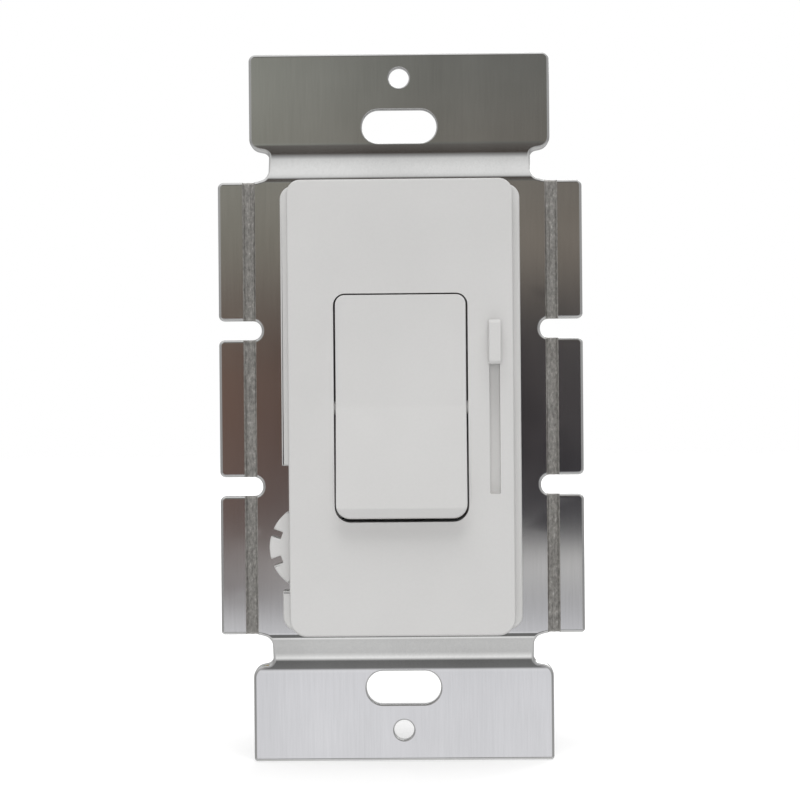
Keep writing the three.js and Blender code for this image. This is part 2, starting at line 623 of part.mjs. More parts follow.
const slider = new THREE.Group();
slider.position.z = SLIDER_REST_Z;
assembly.add(slider);
addNode('slider_knob', sliderKnob(), ...WHITE_PLASTIC, slider);
addNode('slider_carrier', sliderCarrier(), ...WHITE_PLASTIC, slider);
addNode('wiper_lever', wiperLever(), ...BLACK_PLASTIC, slider);
addNode('slide_pot_body', slidePotBody(), ...STEEL);

const trim = new THREE.Group();
trim.position.set(TRIM.x, 0, TRIM.z);
assembly.add(trim);
addNode('trim_wheel', trimWheel(), ...WHITE_PLASTIC, trim);
addNode('trim_pot_body', trimPotBody(), 0x2f5f9a, 0.5, 0, trim);
addNode('trim_pot_rotor', trimPotRotor(), 0xe8e4d8, 0.5, 0, trim);

addNode('switch_base', switchBase(), ...BLACK_PLASTIC);
const seesaw = addNode('contact_seesaw', contactSeesaw(), 0xb87346, 0.35, 0.9);
seesaw.position.y = CONTACT_PIVOT_Y;
seesaw.rotation.x = CONTACT_SWING / 2;
addNode('contact_pivot_pin', rodX(0.7, -7.2, 7.2, CONTACT_PIVOT_Y, 0), ...STEEL);
addNode('fixed_contact_upper', fixedContact(), ...BRASS);
addNode('fixed_contact_lower', fixedContact(), ...BRASS).scale.z = -1;

addNode('triac', triac(), ...BLACK_PLASTIC);
addNode('triac_pad', triacPad(), 0xb9b3a6, 0.8, 0);
const triacScrew = addNode('triac_screw', panScrew(...TRIAC_SCREW), ...STEEL);
triacScrew.position.set(0, 0.1, TRIAC.screwZ);

addNode('circuit_board', circuitBoard(), 0x2d6b3c, 0.5, 0);
addNode('choke_core', chokeCore(), 0x3a3a3c, 0.7, 0.1);
addNode('choke_bobbin', chokeBobbin(), ...BLACK_PLASTIC);
addNode('choke_winding', chokeWinding(), 0xb06a3a, 0.35, 0.8);
addNode('film_capacitor', boardPart(0, 18.5, 18, 8, 11), 0xa33a2c, 0.5, 0);
addNode('timing_capacitor', boardPart(13.6, -20, 5, 8, 7), 0x3d6ea8, 0.5, 0);
addNode('trigger_diac', axialPart(1.0, 11.5, -5, 4), 0x2d5fa0, 0.4, 0);
addNode('bleed_resistor', axialPart(1.3, -11.0, 2, 8), 0xc9a26a, 0.6, 0);
addNode('timing_resistor', axialPart(1.3, 11.5, 4, 8), 0xc9a26a, 0.6, 0);

addNode('back_housing', backHousing(), ...BLACK_PLASTIC);
for (const [side, end] of QUADRANTS) {
  const name = `case_screw_${end > 0 ? 'upper' : 'lower'}_${side > 0 ? 'right' : 'left'}`;
  const screw = addNode(name, panScrew(...CASE_SCREW_SIZE), ...STEEL);
  screw.position.set(side * CASE_SCREW.x, HOUSING.back - 1.7, end * CASE_SCREW.z);
}

for (const [name, { side, z, screw: color }] of Object.entries(TERMINALS)) {
  const terminal = new THREE.Group();
  terminal.position.z = z;
  assembly.add(terminal);
  const plate = addNode(`terminal_plate_${name}`, terminalPlate(), ...BRASS, terminal);
  plate.scale.x = side;
  const screw = addNode(`terminal_screw_${name}`, panScrew(...TERMINAL_SCREW),
    color, 0.35, 0.8, terminal);
  screw.position.set(side * (17.0 + GAP), TERMINAL_Y, 0);
  screw.rotation.z = -side * Math.PI / 2;
}

addNode('ground_bracket', groundBracket(), ...STEEL);
const groundScrew = addNode('ground_screw', panScrew(...GROUND_SCREW_SIZE), 0x2f8f4a, 0.4, 0.6);
groundScrew.position.set(GROUND_UPRIGHT_X - GAP, GROUND_SCREW.y, GROUND_SCREW.z);
groundScrew.rotation.z = Math.PI / 2;

export default assembly;
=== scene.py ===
"""Slide dimmer with a rocker switch on a wide aluminium strap: the looks around the CAD frame."""

import json
import math

import bmesh
import bpy
from mathutils import Matrix, Vector


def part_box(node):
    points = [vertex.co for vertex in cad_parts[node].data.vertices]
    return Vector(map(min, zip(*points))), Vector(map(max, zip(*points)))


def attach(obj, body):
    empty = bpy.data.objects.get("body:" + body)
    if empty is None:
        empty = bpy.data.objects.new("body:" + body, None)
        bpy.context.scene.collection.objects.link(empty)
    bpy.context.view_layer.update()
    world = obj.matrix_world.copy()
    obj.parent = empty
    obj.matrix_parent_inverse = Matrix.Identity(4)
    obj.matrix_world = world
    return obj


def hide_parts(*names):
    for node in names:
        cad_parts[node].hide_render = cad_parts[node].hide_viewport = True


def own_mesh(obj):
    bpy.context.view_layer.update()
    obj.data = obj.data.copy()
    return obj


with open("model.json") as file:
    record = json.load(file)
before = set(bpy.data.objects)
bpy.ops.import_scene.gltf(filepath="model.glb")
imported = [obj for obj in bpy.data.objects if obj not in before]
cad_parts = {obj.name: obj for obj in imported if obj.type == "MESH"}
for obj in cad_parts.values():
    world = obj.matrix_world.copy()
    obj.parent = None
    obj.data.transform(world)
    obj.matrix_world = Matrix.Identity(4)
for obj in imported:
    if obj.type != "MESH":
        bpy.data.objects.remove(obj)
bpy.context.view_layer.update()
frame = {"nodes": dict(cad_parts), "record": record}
NODES = frame["nodes"]
MM = 0.001

# ------------------------------------------------------------------ dimensions, in millimetres
# X is right, Y goes into the wall, Z is up. The wall plane is y = 0.

SHEET = 1.5
RISE = 2.4  # from the ears to the middle plate
PLATE_FRONT = -RISE - SHEET
STRAP_HALF_HEIGHT = 52.5
EAR_HALF_WIDTH = 22.3
EAR_INNER_END = 38.5
WEB_HALF_WIDTH = 19.35
PLATE_HALF_WIDTH = 26.8
PLATE_HALF_HEIGHT = 33.3
BEND_START = 33.2
PLATE_BEND = 1.5
EAR_BEND = 7.4
BEND_ANGLE = math.radians(40)
NOTCH_Z = 11.5
NOTCH_HEIGHT = 2.8
NOTCH_INNER_X = 20.5
SLOT_Z = 83.34 / 2
HOLE_Z = 96.84 / 2
HOLE_SHIFT = 0.45
CASE_SCREW_X, CASE_SCREW_Z = 9.0, 29.0

# break-off lines: the groove, the low ridge along its middle, and where the mesh has edges for it
SCORE_X = 22.25
SCORE_HALF_WIDTH = 0.92
SCORE_WALL = 0.2
SCORE_DEPTH = 0.42
RIDGE_HALF_WIDTH = 0.32
RIDGE_WALL = 0.16
RIDGE_SHARE = 0.3
WANDER_SHARE = 0.1
SCORE_SLICES = (-0.94, -0.72, -0.34, -0.14, 0.14, 0.34, 0.72, 0.94)

FACE_WIDTH, FACE_HEIGHT = 32.8, 66.4
FACE_FRONT = -8.5
FACE_STEP = -5.9
FACE_BACK = -4.1
FACE_ROUND_TOP, FACE_ROUND_BOTTOM = 2.0, 2.5
FLANGE_HALF_WIDTH, FLANGE_HALF_HEIGHT = 17.55, 32.6
FLANGE_THICKNESS = 1.6
SKIRT_INNER_X, SKIRT_INNER_Z = 15.4, 31.9
SKIRT_WALL = 1.2
WINDOW_TOP, WINDOW_BOTTOM, WINDOW_X = -8.4, -26.8, -14.6  # where the trim wheel shows
OVERLAP = 0.1

PADDLE_WIDTH, PADDLE_HALF_HEIGHT = 18.96, 16.2
PADDLE_CREASE = 2.0  # how far the crease stands in front of the pivot
PADDLE_DEPTH = 2.9
BEVEL_START = -14.75
BEVEL_SLOPE = 0.3
PIVOT_Y = -6.6
HALF_ROCK = math.radians(4.7)
PADDLE_PLACE = Matrix.Translation((0, PIVOT_Y, 0)) @ Matrix.Rotation(-HALF_ROCK, 4, "X")

SLIDER_X = 13.6
SLIDER_REST_Z = 9.4
TRIM_X, TRIM_Z = -13.0, -20.4
TRIM_RADIUS = 6.5


def clamp(share):
    return min(1.0, max(0.0, share))


# ------------------------------------------------------------------ outlines


def rounded_loop(corners, steps=10):
    """Closed outline through (x, z, setback) corners.

    Each corner is rounded by an arc that starts setback away from it.
    """
    points = []
    for index, (x, z, setback) in enumerate(corners):
        corner = Vector((x, z))
        before = (Vector(corners[index - 1][:2]) - corner).normalized()
        after = (Vector(corners[(index + 1) % len(corners)][:2]) - corner).normalized()
        if setback <= 0:
            points.append(corner)
            continue
        turn = math.pi - before.angle(after)
        radius = setback / math.tan(turn / 2)
        handle = 4 / 3 * math.tan(turn / 4) * radius
        first, last = corner + before * setback, corner + after * setback
        a, b = first - before * handle, last - after * handle
        for step in range(steps + 1):
            t = step / steps
            s = 1 - t
            points.append(first * s**3 + a * 3 * s * s * t + b * 3 * s * t * t + last * t**3)
    return points


def rounded_rectangle(x, z, width, height, top, bottom=None, steps=10):
    """A rectangle about (x, z) with one setback for its upper and one for its lower corners."""
    bottom = top if bottom is None else bottom
    left, right = x - width / 2, x + width / 2
    up, down = z + height / 2, z - height / 2
    corners = [(left, up, top), (left, down, bottom), (right, down, bottom), (right, up, top)]
    return rounded_loop(corners, steps)


def circle(x, z, radius, count=40):
    turns = [2 * math.pi * k / count for k in range(count)]
    return [Vector((x + radius * math.cos(a), z + radius * math.sin(a))) for a in turns]


def oriented(loop, anticlockwise):
    area = sum(p.x * q.y - q.x * p.y for p, q in zip(loop, loop[1:] + loop[:1]))
    return loop if (area > 0) == anticlockwise else loop[::-1]


def inset(loop, distance):
    """The loop moved to its left by distance, with mitred corners."""
    moved = []
    for index, point in enumerate(loop):
        before = point - loop[index - 1]
        after = loop[(index + 1) % len(loop)] - point
        if before.length < 1e-7:
            before = after
        if after.length < 1e-7:
            after = before
        n1 = Vector((-before.y, before.x)).normalized()
        n2 = Vector((-after.y, after.x)).normalized()
        middle = (n1 + n2).normalized() if (n1 + n2).length > 1e-6 else n1
        moved.append(point + middle * (distance / max(0.35, middle.dot(n1))))
    return moved


# ------------------------------------------------------------------ solids

NORMAL = "shade"  # vertex layer that holds the shading normal
PROBE = 2e-3  # distance over which deform measures a slope


def plate(outer, holes, front, back, front_round, back_round=0.08, steps=4, hole_round=None):
    """A plate in the (x, z) plane between two depths with rolled edges, as a bmesh."""
    bm = bmesh.new()
    shade_layer = bm.verts.layers.float_vector.new(NORMAL)
    caps = {"front": [], "back": []}
    hole_round = front_round if hole_round is None else hole_round
    loops = [(oriented(outer, True), front_round)]
    loops += [(oriented(hole, False), hole_round) for hole in holes]
    for loop, rolled in loops:
        rings = []
        for step in range(steps + 1):
            angle = step / steps * math.pi / 2
            across, along = rolled * (1 - math.sin(angle)), rolled * (1 - math.cos(angle))
            rings.append((across, front + along, -math.cos(angle)))
        for step in range(steps, -1, -1):
            angle = step / steps * math.pi / 2
            across, along = back_round * (1 - math.sin(angle)), back_round * (1 - math.cos(angle))
            rings.append((across, back - along, math.cos(angle)))
        outward = [before - after for before, after in zip(loop, inset(loop, 0.01))]
        previous = None
        for depth_index, (distance, y, lean) in enumerate(rings):
            ring = [bm.verts.new((p.x, y, p.y)) for p in inset(loop, distance)]
            side_share = math.sqrt(max(0.0, 1 - lean * lean))
            for vert, away in zip(ring, outward):
                away = away.normalized() * side_share
                vert[shade_layer] = (away.x, lean, away.y)
            if previous:
                for k in range(len(ring)):
                    n = (k + 1) % len(ring)
                    bm.faces.new((previous[k], previous[n], ring[n], ring[k]))
            if depth_index in (0, len(rings) - 1):
                side = "front" if depth_index == 0 else "back"
                for k in range(len(ring)):
                    a, b = ring[k], ring[(k + 1) % len(ring)]
                    caps[side].append(bm.edges.get((a, b)) or bm.edges.new((a, b)))
            previous = ring
    for edges in caps.values():
        bmesh.ops.triangle_fill(bm, use_beauty=True, use_dissolve=False, edges=edges)
    bmesh.ops.recalc_face_normals(bm, faces=bm.faces[:])
    return bm


def slice_at(bm, axis, values):
    """Adds edges where the mesh crosses planes square to an axis."""
    for value in values:
        co, no = [0.0] * 3, [0.0] * 3
        co[axis], no[axis] = value, 1.0
        geometry = bm.verts[:] + bm.edges[:] + bm.faces[:]
        bmesh.ops.bisect_plane(bm, geom=geometry, dist=1e-5, plane_co=co, plane_no=no)


def deform(bm, move):
    """Moves every vertex by a function of its place and carries the shading normals along."""
    layer = bm.verts.layers.float_vector[NORMAL]
    for vert in bm.verts:
        origin = vert.co.copy()
        columns = []
        for axis in range(3):
            step = Vector((0, 0, 0))
            step[axis] = PROBE
            columns.append((move(origin + step) - move(origin - step)) / (2 * PROBE))
        jacobian = Matrix(columns).transposed()
        if abs(jacobian.determinant()) > 1e-6:
            vert[layer] = (jacobian.inverted().transposed() @ vert[layer]).normalized()
        vert.co = move(origin)


def lathe(profile, axis, sides=40):
    """A solid of revolution about x or y, from (radius, along) pairs between two axis points."""
    bm = bmesh.new()
    shade_layer = bm.verts.layers.float_vector.new(NORMAL)
    rings = []
    turn = 1 if profile[-1][1] > profile[0][1] else -1
    for index, (radius, along) in enumerate(profile):
        on_axis = radius < 1e-6
        slope = Vector((0.0, 0.0))
        for start, end in ((index - 1, index), (index, index + 1)):
            if start >= 0 and end < len(profile):
                run = Vector(profile[end]) - Vector(profile[start])
                slope += Vector((run.y, -run.x)).normalized() * turn
        slope = slope.normalized() if slope.length > 1e-6 else Vector((1.0, 0.0))
        outward = 0.0 if on_axis else slope.x
        ring = []
        for k in range(1 if on_axis else sides):
            angle = 2 * math.pi * k / sides
            a, b = radius * math.cos(angle), radius * math.sin(angle)
            na, nb = outward * math.cos(angle), outward * math.sin(angle)
            ring.append(bm.verts.new({"x": (along, a, b), "y": (a, along, b)}[axis]))
            ring[-1][shade_layer] = {"x": (slope.y, na, nb), "y": (na, slope.y, nb)}[axis]
        rings.append(ring)
    for first, second in zip(rings, rings[1:]):
        for k in range(sides):
            n = (k + 1) % sides
            around = ((first, k), (first, n), (second, n), (second, k))
            corners = list(dict.fromkeys(ring[j % len(ring)] for ring, j in around))
            if len(corners) > 2:
                bm.faces.new(corners)
    bmesh.ops.recalc_face_normals(bm, faces=bm.faces[:])
    return bm


def to_mesh(bm, name):
    """A mesh from a bmesh, which is freed."""
    mesh = bpy.data.meshes.new(name)
    bm.to_mesh(mesh)
    bm.free()
    return mesh


def linked_object(name, data):
    obj = bpy.data.objects.new(name, data)
    bpy.context.scene.collection.objects.link(obj)
    return obj


def merge(target, *others):
    """Adds the other meshes to the first one."""
    for other in others:
        mesh = to_mesh(other, "part")
        target.from_mesh(mesh)
        bpy.data.meshes.remove(mesh)
    return target


def cut(target, cutters, use_self=False):
    """The target with the cutters taken away, as a new bmesh."""
    body = linked_object("body", to_mesh(target, "body"))
    tools = [linked_object("tool", to_mesh(bm, "tool")) for bm in cutters]
    for tool in tools:
        modifier = body.modifiers.new("cut", "BOOLEAN")
        modifier.object = tool
        modifier.solver = "EXACT"
        modifier.use_self = use_self
        modifier.operation = "DIFFERENCE"
    bpy.context.view_layer.update()
    evaluated = body.evaluated_get(bpy.context.evaluated_depsgraph_get())
    result = bpy.data.meshes.new_from_object(evaluated)
    for obj in [body, *tools]:
        bpy.data.objects.remove(obj)
    bm = bmesh.new()
    bm.from_mesh(result)
    bpy.data.meshes.remove(result)
    return bm


def soften(obj, width, segments=3, angle=35):
    """Eased edges for a hard-edged mesh, wherever two faces meet at more than an angle."""
    bevel = obj.modifiers.new("edge", "BEVEL")
    bevel.width, bevel.segments, bevel.limit_method = width * MM, segments, "ANGLE"
    bevel.angle_limit = math.radians(angle)
    weighted = obj.modifiers.new("weighted", "WEIGHTED_NORMAL")
    weighted.weight = 100


def piece(name, bm, slot, body, nodes, place=None, materials=None):
    """A finished object from a bmesh in millimetres, shaded by its stored normals, if any."""
    place = place or Matrix.Identity(4)
    layer = bm.verts.layers.float_vector.get(NORMAL)
    normals = [(place.to_3x3() @ v[layer]).normalized() for v in bm.verts] if layer else None
    if layer:
        bm.verts.layers.float_vector.remove(layer)
    mesh = to_mesh(bm, name)
    mesh.transform(place)
    mesh.transform(Matrix.Scale(MM, 4))
    for polygon in mesh.polygons:
        polygon.use_smooth = True
    if normals:
        mesh.normals_split_custom_set_from_vertices(normals)
    obj = linked_object(name, mesh)
    for material in materials or [MATERIALS[slot]]:
        mesh.materials.append(material)
    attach(obj, body)
    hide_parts(*nodes)
    return obj


# ------------------------------------------------------------------ materials


class Tree:
    """Short calls for making and linking nodes."""

    def __init__(self, tree):
        self.nodes, self.links = tree.nodes, tree.links

    def feed(self, node, socket, value):
        """Links an output to a socket, or sets the socket if the value is a plain one."""
        if isinstance(value, bpy.types.NodeSocket):
            self.links.new(value, node.inputs[socket])
        else:
            node.inputs[socket].default_value = value

    def add(self, kind, settings=None, **sockets):
        """A node of a kind. A socket's underscores stand for spaces."""
        node = self.nodes.new("ShaderNode" + kind)
        for setting, value in (settings or {}).items():
            setattr(node, setting, value)
        for socket, value in sockets.items():
            self.feed(node, socket.replace("_", " "), value)
        return node

    def ramp(self, factor, stops):
        node = self.add("ValToRGB", Fac=factor)
        elements = node.color_ramp.elements
        for index, (position, colour) in enumerate(stops):
            element = elements[index] if index < 2 else elements.new(position)
            element.position = position
            element.color = (*colour, 1)
        return node.outputs["Color"]

    def mix(self, factor, a, b, blend="MIX"):
        settings = {"data_type": "RGBA", "blend_type": blend}
        return self.add("Mix", settings, Factor=factor, A=a, B=b).outputs["Result"]

    def mapped(self, value, start, end, low=0.0, high=1.0, smooth=False):
        """The value taken from start..end to low..high and held there beyond."""
        settings = {"interpolation_type": "SMOOTHSTEP" if smooth else "LINEAR"}
        node = self.add("MapRange", settings, From_Min=start, From_Max=end, To_Min=low, To_Max=high)
        self.feed(node, "Value", value)
        return node.outputs["Result"]


class Shader(Tree):
    """A node material around one Principled shader, textured in the piece's own space."""

    def __init__(self, name, **sockets):
        self.material = bpy.data.materials.new(name)
        self.material.use_nodes = True
        super().__init__(self.material.node_tree)
        self.principled = next(n for n in self.nodes if n.type == "BSDF_PRINCIPLED")
        self.coordinates = self.add("TexCoord").outputs["Object"]
        for socket, value in sockets.items():
            self.set(socket.replace("_", " "), value)

    def set(self, socket, value):
        self.feed(self.principled, socket, value)

    def noise(self, scale, stretch=(1, 1, 1), detail=3.0, roughness=0.55):
        """Noise with that many features per metre, squeezed by stretch along each axis."""
        place = self.add("Mapping", Vector=self.coordinates, Scale=stretch).outputs["Vector"]
        sockets = {"Scale": scale, "Detail": detail, "Roughness": roughness}
        return self.add("TexNoise", Vector=place, **sockets).outputs["Fac"]

    def spread(self, factor, low, high):
        """A noise, most of which lies within 0.3 to 0.7, taken to low..high."""
        return self.mapped(factor, 0.3, 0.7, low, high)

    def bump(self, height, distance, strength=1.0, under=None):
        node = self.add("Bump", Strength=strength, Distance=distance, Height=height)
        if under is not None:
            self.feed(node, "Normal", under)
        return node.outputs["Normal"]


def grey(level):
    return (level,) * 3


def shade(colour, share):
    return tuple(min(1.0, c * share) for c in colour)


def moulded(name, colour, roughness, grain=3000, depth=2e-6):
    """Moulded plastic: spark-eroded skin, slow changes of tone and faint flow marks."""
    s = Shader(name, Roughness=roughness)
    slow = s.noise(55, detail=2.0)
    fine = s.noise(grain, detail=2.0)
    tone = s.ramp(slow, [(0.3, shade(colour, 0.975)), (0.7, shade(colour, 1.02))])
    speck = s.ramp(fine, [(0.25, grey(0.96)), (0.75, grey(1))])
    s.set("Base Color", s.mix(0.5, tone, speck, "MULTIPLY"))
    s.set("Roughness", s.spread(fine, roughness - 0.05, roughness + 0.06))
    broad = s.bump(s.noise(140, detail=1.0), 1.2e-5, 0.35)
    s.set("Normal", s.bump(fine, depth, 0.5, broad))
    return s.material


def plated(name, colour, roughness, worn=0.82):
    """Bright or dyed metal with small blotches and handling marks."""
    s = Shader(name, Metallic=1.0, Roughness=roughness)
    blotch = s.noise(420, detail=4.0)
    scratch = s.noise(1500, stretch=(1, 1, 0.12), detail=2.0)
    tone = s.ramp(blotch, [(0.3, shade(colour, worn)), (0.65, colour)])
    streak = s.ramp(scratch, [(0.3, grey(0.9)), (0.7, grey(1))])
    s.set("Base Color", s.mix(0.6, tone, streak, "MULTIPLY"))
    s.set("Roughness", s.spread(blotch, roughness - 0.06, roughness + 0.1))
    s.set("Normal", s.bump(scratch, 3e-6, 0.4))
    return s.material


def brushed_aluminium():
    """Rolled sheet with an upright grain: fine lines, wide sideways gloss, dull patches."""
    s = Shader("aluminium_sheet", Metallic=1.0, Anisotropic=0.93)
    tangent = s.add("Tangent", {"direction_type": "UV_MAP", "uv_map": "grain"})
    s.set("Tangent", tangent.outputs["Tangent"])
    line = s.noise(1700, stretch=(1, 1, 0.02), detail=3.0, roughness=0.7)
    hair = s.noise(5200, stretch=(1, 1, 0.03), detail=2.0, roughness=0.7)
    patch = s.noise(60, stretch=(1, 1, 0.7), detail=3.0)
    tone = s.ramp(patch, [(0.3, (0.60, 0.60, 0.595)), (0.7, (0.68, 0.68, 0.675))])
    lines = s.ramp(line, [(0.3, grey(0.97)), (0.7, grey(1))])
    hairs = s.ramp(hair, [(0.3, grey(0.955)), (0.65, grey(1))])
    s.set("Base Color", s.mix(1.0, s.mix(0.9, tone, lines, "MULTIPLY"), hairs, "MULTIPLY"))
    s.set("Roughness", s.spread(patch, 0.1, 0.135))
    s.set("Normal", s.bump(line, 1e-6, 0.3))
    return s.material


def scored_aluminium():
    """The pressed bottom of the break-off lines: crushed, matt and speckled."""
    s = Shader("scored_aluminium", Metallic=1.0)
    crush = s.noise(2600, stretch=(1, 1, 0.5), detail=5.0, roughness=0.75)
    drag = s.noise(1500, stretch=(1, 1, 0.05), detail=2.0)
    dark, middle, bright = (0.28, 0.27, 0.255), (0.6, 0.585, 0.555), (0.92, 0.91, 0.88)
    tone = s.ramp(crush, [(0.32, dark), (0.58, middle), (0.72, bright)])
    streak = s.ramp(drag, [(0.3, grey(0.82)), (0.7, grey(1))])
    s.set("Base Color", s.mix(0.6, tone, streak, "MULTIPLY"))
    s.set("Roughness", s.spread(crush, 0.46, 0.62))
    s.set("Normal", s.bump(crush, 4.5e-5, 0.8, s.bump(drag, 4e-5, 0.5)))
    return s.material


def enamelled(name, colour, roughness):
    """Enamelled wire: rows of turns under a clear skin, darker between the turns as painted shade
    in the grooves.
    """
    s = Shader(name, Metallic=0.6, Roughness=roughness, Coat_Weight=0.5)
    bands = {"bands_direction": "X"}
    wave = s.add("TexWave", bands, Scale=480, Distortion=0.6, Vector=s.coordinates).outputs["Fac"]
    # the dark end of the ramp is painted shade in the grooves between the turns
    s.set("Base Color", s.ramp(wave, [(0.0, shade(colour, 0.45)), (0.7, colour)]))
    s.set("Normal", s.bump(wave, 1.2e-4, 0.7))
    return s.material


BLACK = (0.028, 0.028, 0.03)
FERRITE = (0.05, 0.05, 0.055)
MATERIALS = {
    "aluminium": brushed_aluminium(),
    "white_plastic": moulded("white_plastic", (0.79, 0.785, 0.775), 0.42),
    "black_plastic": moulded("black_plastic", BLACK, 0.45, grain=2200, depth=6e-6),
    "natural_nylon": moulded("natural_nylon", (0.7, 0.66, 0.56), 0.4),
    "steel": plated("zinc_steel", (0.62, 0.62, 0.63), 0.3),
    "brass": plated("brass", (0.76, 0.57, 0.25), 0.28),
    "copper": enamelled("copper", (0.72, 0.38, 0.2), 0.35),
    "dark_screw": plated("blackened_steel", (0.085, 0.08, 0.075), 0.38, worn=0.6),
    "green_screw": plated("green_steel", (0.07, 0.32, 0.13), 0.34, worn=0.7),
    "laminate": moulded("laminate", (0.05, 0.17, 0.07), 0.35),
    "ferrite": moulded("ferrite", FERRITE, 0.65, grain=1500, depth=1.5e-5),
    "red_epoxy": moulded("red_epoxy", (0.42, 0.06, 0.035), 0.22),
    "blue_case": moulded("blue_case", (0.05, 0.15, 0.4), 0.3),
    "tan_body": moulded("tan_body", (0.55, 0.4, 0.2), 0.3),
    "pad_rubber": moulded("pad_rubber", (0.5, 0.48, 0.42), 0.7),
}
SCORED = scored_aluminium()
# The slider carrier's white plastic, made brighter than the rest: painted light, so the slot floor
# deep in its recess looks as lit as the face around it.
SHUTTER_PAINTED_LIGHT = moulded("white_shutter_painted_light", (0.88, 0.875, 0.865), 0.4)

# ------------------------------------------------------------------ strap


def bend_profile(z):
    """Depth of the sheet's middle and its lean at a height, through the two bends to the ear."""
    height = abs(z) - BEND_START
    first, last = PLATE_BEND * math.sin(BEND_ANGLE), EAR_BEND * math.sin(BEND_ANGLE)
    drop = PLATE_BEND * (1 - math.cos(BEND_ANGLE))
    straight = (RISE - drop - EAR_BEND * (1 - math.cos(BEND_ANGLE))) / math.sin(BEND_ANGLE)
    run = straight * math.cos(BEND_ANGLE)
    start = PLATE_FRONT + SHEET / 2
    if height <= 0:
        return start, 0.0
    if height < first:
        lean = math.asin(height / PLATE_BEND)
        return start + PLATE_BEND * (1 - math.cos(lean)), lean
    if height < first + run:
        return start + drop + (height - first) * math.tan(BEND_ANGLE), BEND_ANGLE
    if height < first + run + last:
        lean = math.asin((first + run + last - height) / EAR_BEND)
        return start + RISE - EAR_BEND * (1 - math.cos(lean)), lean
    return start + RISE, 0.0


def strap_outline():
    """The flat sheet: ear, web, plate and notches of the upper right quarter, mirrored twice."""
    top, bottom = NOTCH_Z + NOTCH_HEIGHT / 2, NOTCH_Z - NOTCH_HEIGHT / 2
    notch_round = NOTCH_HEIGHT / 2 - 0.05
    upper = [
        (EAR_HALF_WIDTH, STRAP_HALF_HEIGHT, 1.0),
        (EAR_HALF_WIDTH, EAR_INNER_END, 1.5),
        (WEB_HALF_WIDTH, EAR_INNER_END - 0.6, 0.8),
        (WEB_HALF_WIDTH, PLATE_HALF_HEIGHT + 0.5, 0.9),
        (WEB_HALF_WIDTH + 2.0, PLATE_HALF_HEIGHT, 0.9),
        (PLATE_HALF_WIDTH, PLATE_HALF_HEIGHT, 0.8),
        (PLATE_HALF_WIDTH, top, 0.8),
        (NOTCH_INNER_X, top, notch_round),
        (NOTCH_INNER_X, bottom, notch_round),
        (PLATE_HALF_WIDTH, bottom, 0.8),
    ]
    # the lower outer corners are sharper than the upper ones
    sharper = {
        (EAR_HALF_WIDTH, STRAP_HALF_HEIGHT): 0.5,
        (PLATE_HALF_WIDTH, PLATE_HALF_HEIGHT): 0.5,
    }
    right = upper + [(x, -z, sharper.get((x, z), r)) for x, z, r in reversed(upper)]
    return rounded_loop(right + [(-x, z, r) for x, z, r in reversed(right)], steps=8)


def score_depth(x, z):
    """How far the break-off line is pressed in, with its low ridge and its wandering floor."""
    offset = abs(abs(x) - SCORE_X)
    wall = clamp((SCORE_HALF_WIDTH - offset) / SCORE_WALL)
    ridge = RIDGE_SHARE * clamp((RIDGE_HALF_WIDTH - offset) / RIDGE_WALL)
    wander = WANDER_SHARE * math.sin(z * 3.1 + x) * math.sin(z * 1.3 + 2.0)
    return SCORE_DEPTH * wall * (1 - ridge + wander)


def strap_place(point):
    """Presses the break-off lines into the flat sheet and bends it. Y is the depth through it."""
    x, n, z = point
    if n < 0.3:  # the back stays flat
        end = clamp((PLATE_HALF_HEIGHT + 0.4 - abs(z)) / 0.2)
        n += score_depth(x, z) * end * min(1.0, (0.3 - n) / 0.6)
    y, lean = bend_profile(z)
    tilt = lean if z > 0 else -lean
    return Vector((x, y + n * math.cos(lean), z - n * math.sin(tilt)))


def in_score(centre):
    """Whether a face of the bent strap is in a break-off line."""
    across = abs(abs(centre.x) - SCORE_X) < SCORE_HALF_WIDTH
    return across and centre.y < -RISE - 0.5 and abs(centre.z) < PLATE_HALF_HEIGHT + 0.3


def make_strap():
    holes = [
        rounded_rectangle(0, 0, 14.4, 20.4, 1),  # the paddle's stem and the switch
        rounded_rectangle(SLIDER_X, 0, 2.6, 24.8, 1),  # the slider's lever
        circle(TRIM_X, TRIM_Z, 2.3),  # the trim wheel's hub
        circle(0, 26.5, 1.9),  # the triac's screw
    ]
    for side in (1, -1):
        holes.append(rounded_rectangle(0, side * SLOT_Z, 11.1, 5.0, 2.45))
        holes.append(circle(0, side * HOLE_Z + HOLE_SHIFT, 1.5))
        holes += [circle(side * CASE_SCREW_X, end * CASE_SCREW_Z, 1.6, 24) for end in (1, -1)]
    bm = plate(strap_outline(), holes, -SHEET / 2, SHEET / 2, 0.42, 0.12, hole_round=0.2)
    bends = []
    for side in (1, -1):
        bends += [side * (BEND_START - 0.1 + 0.1 * k) for k in range(14)]
        bends += [side * (BEND_START + 1.4 + 0.2 * k) for k in range(25)]
        slice_at(bm, 0, [side * SCORE_X + offset for offset in SCORE_SLICES])
    slice_at(bm, 2, bends)
    slice_at(bm, 2, [k * 1.5 for k in range(-21, 22)])
    deform(bm, strap_place)
    grain = bm.loops.layers.uv.new("grain")
    for face in bm.faces:
        if in_score(face.calc_center_median()):
            face.material_index = 1
        for loop in face.loops:
            loop[grain].uv = (loop.vert.co.x * 0.01, loop.vert.co.z * 0.01)
    materials = [MATERIALS["aluminium"], SCORED]
    piece("strap_sheet", bm, "aluminium", "frame", ["mounting_strap"], materials=materials)


# ------------------------------------------------------------------ face


def with_window(half_width, half_height, window_x, window_wall, rounds, sharp, steps=10):
    """A rectangle with the trim wheel's window cut into its left side."""
    top, bottom = rounds
    up, down = WINDOW_TOP + window_wall, WINDOW_BOTTOM - window_wall
    return rounded_loop([
        (-half_width, half_height, top), (-half_width, up, sharp), (window_x, up, sharp),
        (window_x, down, sharp), (-half_width, down, sharp), (-half_width, -half_height, bottom),
        (half_width, -half_height, bottom), (half_width, half_height, top),
    ], steps)


